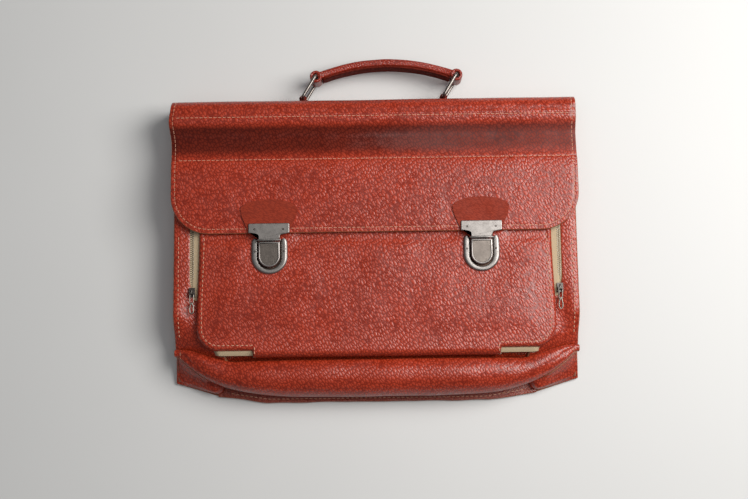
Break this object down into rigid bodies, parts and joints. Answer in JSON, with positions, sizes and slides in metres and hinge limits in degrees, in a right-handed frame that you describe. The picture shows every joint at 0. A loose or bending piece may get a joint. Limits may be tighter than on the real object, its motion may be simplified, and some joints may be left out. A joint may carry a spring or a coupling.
{
  "type": "leather briefcase",
  "caption": "Soft leather briefcase or music case lying on its back, with a full flap, push locks, a zip pocket on the front, a rolled bottom and an arched handle on wire rings.",
  "frame": {"origin": "centre of the back panel's outer face, on the surface the case lies on", "axes": "+Z out of the front face, +Y towards the handle, +X to the right as seen from the front"},
  "size_m": [0.402, 0.3443, 0.0516],
  "materials": {
    "grained_leather": "terracotta hide with an embossed pebble grain, semi-gloss from use",
    "smooth_leather": "the same hide with the grain pressed smooth",
    "worn_leather": "darkened, rubbed leather of seams and the palm side of the handle",
    "suede_lining": "matt flesh side",
    "fibre_board": "pressed fibre, unseen",
    "zip_tape": "beige woven cotton tape",
    "zip_metal": "dull aged metal",
    "aged_nickel": "satin nickel plate with wear",
    "brushed_nickel": "lengthwise brushed nickel plate",
    "lock_steel": "plain pressed steel, unseen"
  },
  "bodies": {
    "case": {"back_panel": "grained_leather", "front_panel": "grained_leather", "bottom_panel": "grained_leather", "bottom_binding": "worn_leather", "gusset_left": "grained_leather", "gusset_right": "grained_leather", "corner_fold_left": "grained_leather", "corner_fold_right": "grained_leather", "top_spine": "grained_leather", "handle_stiffener": "fibre_board", "pocket_frame": "grained_leather", "pocket_panel": "grained_leather", "zip_tape_outer": "zip_tape", "zip_tape_inner": "zip_tape", "zip_teeth_outer": "zip_metal", "zip_teeth_inner": "zip_metal", "zip_stops": "zip_metal", "lock_plate_left": "aged_nickel", "lock_plate_right": "aged_nickel", "lock_pins": "aged_nickel", "lock_case_left": "lock_steel", "lock_case_right": "lock_steel", "lock_spring_left": "lock_steel", "lock_spring_right": "lock_steel", "handle_tab_left": "grained_leather", "handle_tab_right": "grained_leather", "tab_rivets": "aged_nickel"},
    "flap": {"flap": "grained_leather", "flap_lining": "suede_lining", "lock_patch_left": "smooth_leather", "lock_patch_right": "smooth_leather", "hasp_left": "aged_nickel", "hasp_right": "aged_nickel", "hasp_backing_left": "lock_steel", "hasp_backing_right": "lock_steel", "hasp_pins": "aged_nickel"},
    "zip_slider_left": {"zip_slider_left": "zip_metal"},
    "zip_pull_left": {"zip_pull_left": "zip_metal"},
    "zip_slider_right": {"zip_slider_right": "zip_metal"},
    "zip_pull_right": {"zip_pull_right": "zip_metal"},
    "lock_button_left": {"lock_button_left": "brushed_nickel"},
    "lock_button_right": {"lock_button_right": "brushed_nickel"},
    "ring_left": {"ring_left": "aged_nickel"},
    "ring_right": {"ring_right": "aged_nickel"},
    "handle": {"handle_grip": "grained_leather", "handle_underlay": "worn_leather", "handle_core": "fibre_board"}
  },
  "joints": [
    {"name": "flap_hinge", "type": "hinge", "parent": "case", "child": "flap", "pos_m": [0, 0.13045, 0.0484], "axis": [-1, 0, 0], "range_deg": [0, 150]},
    {"name": "zip_slide_left", "type": "slide", "parent": "case", "child": "zip_slider_left", "axis": [0, 1, 0], "range_m": [-0.026, 0.044]},
    {"name": "zip_pull_hinge_left", "type": "hinge", "parent": "zip_slider_left", "child": "zip_pull_left", "pos_m": [-0.1805, -0.043, 0.0422], "axis": [-1, 0, 0], "range_deg": [0, 120]},
    {"name": "zip_slide_right", "type": "slide", "parent": "case", "child": "zip_slider_right", "axis": [0, 1, 0], "range_m": [-0.026, 0.044]},
    {"name": "zip_pull_hinge_right", "type": "hinge", "parent": "zip_slider_right", "child": "zip_pull_right", "pos_m": [0.1805, -0.043, 0.0422], "axis": [-1, 0, 0], "range_deg": [0, 120]},
    {"name": "lock_press_left", "type": "slide", "parent": "case", "child": "lock_button_left", "axis": [0, 0, -1], "range_m": [0, 0.0012], "stiffness_N_per_m": 800, "springref_m": -0.0006, "deforming": ["lock_spring_left"]},
    {"name": "lock_press_right", "type": "slide", "parent": "case", "child": "lock_button_right", "axis": [0, 0, -1], "range_m": [0, 0.0012], "stiffness_N_per_m": 800, "springref_m": -0.0006, "deforming": ["lock_spring_right"]},
    {"name": "ring_fold_left", "type": "hinge", "parent": "case", "child": "ring_left", "pos_m": [-0.071, 0.1544, 0.0205], "axis": [0, 0, 1], "range_deg": [-39, 101]},
    {"name": "ring_fold_right", "type": "hinge", "parent": "case", "child": "ring_right", "pos_m": [0.071, 0.1544, 0.0205], "axis": [0, 0, 1], "range_deg": [-39, 101]},
    {"name": "handle_pivot", "type": "hinge", "parent": "ring_left", "child": "handle", "pos_m": [-0.05761, 0.17669, 0.0205], "axis": [0, 0, 1], "range_deg": [-101, 39]}
  ],
  "couplings": [
    {"joint": "ring_fold_right", "follows": "ring_fold_left", "ratio": 1},
    {"joint": "handle_pivot", "follows": "ring_fold_left", "ratio": -1}
  ]
}
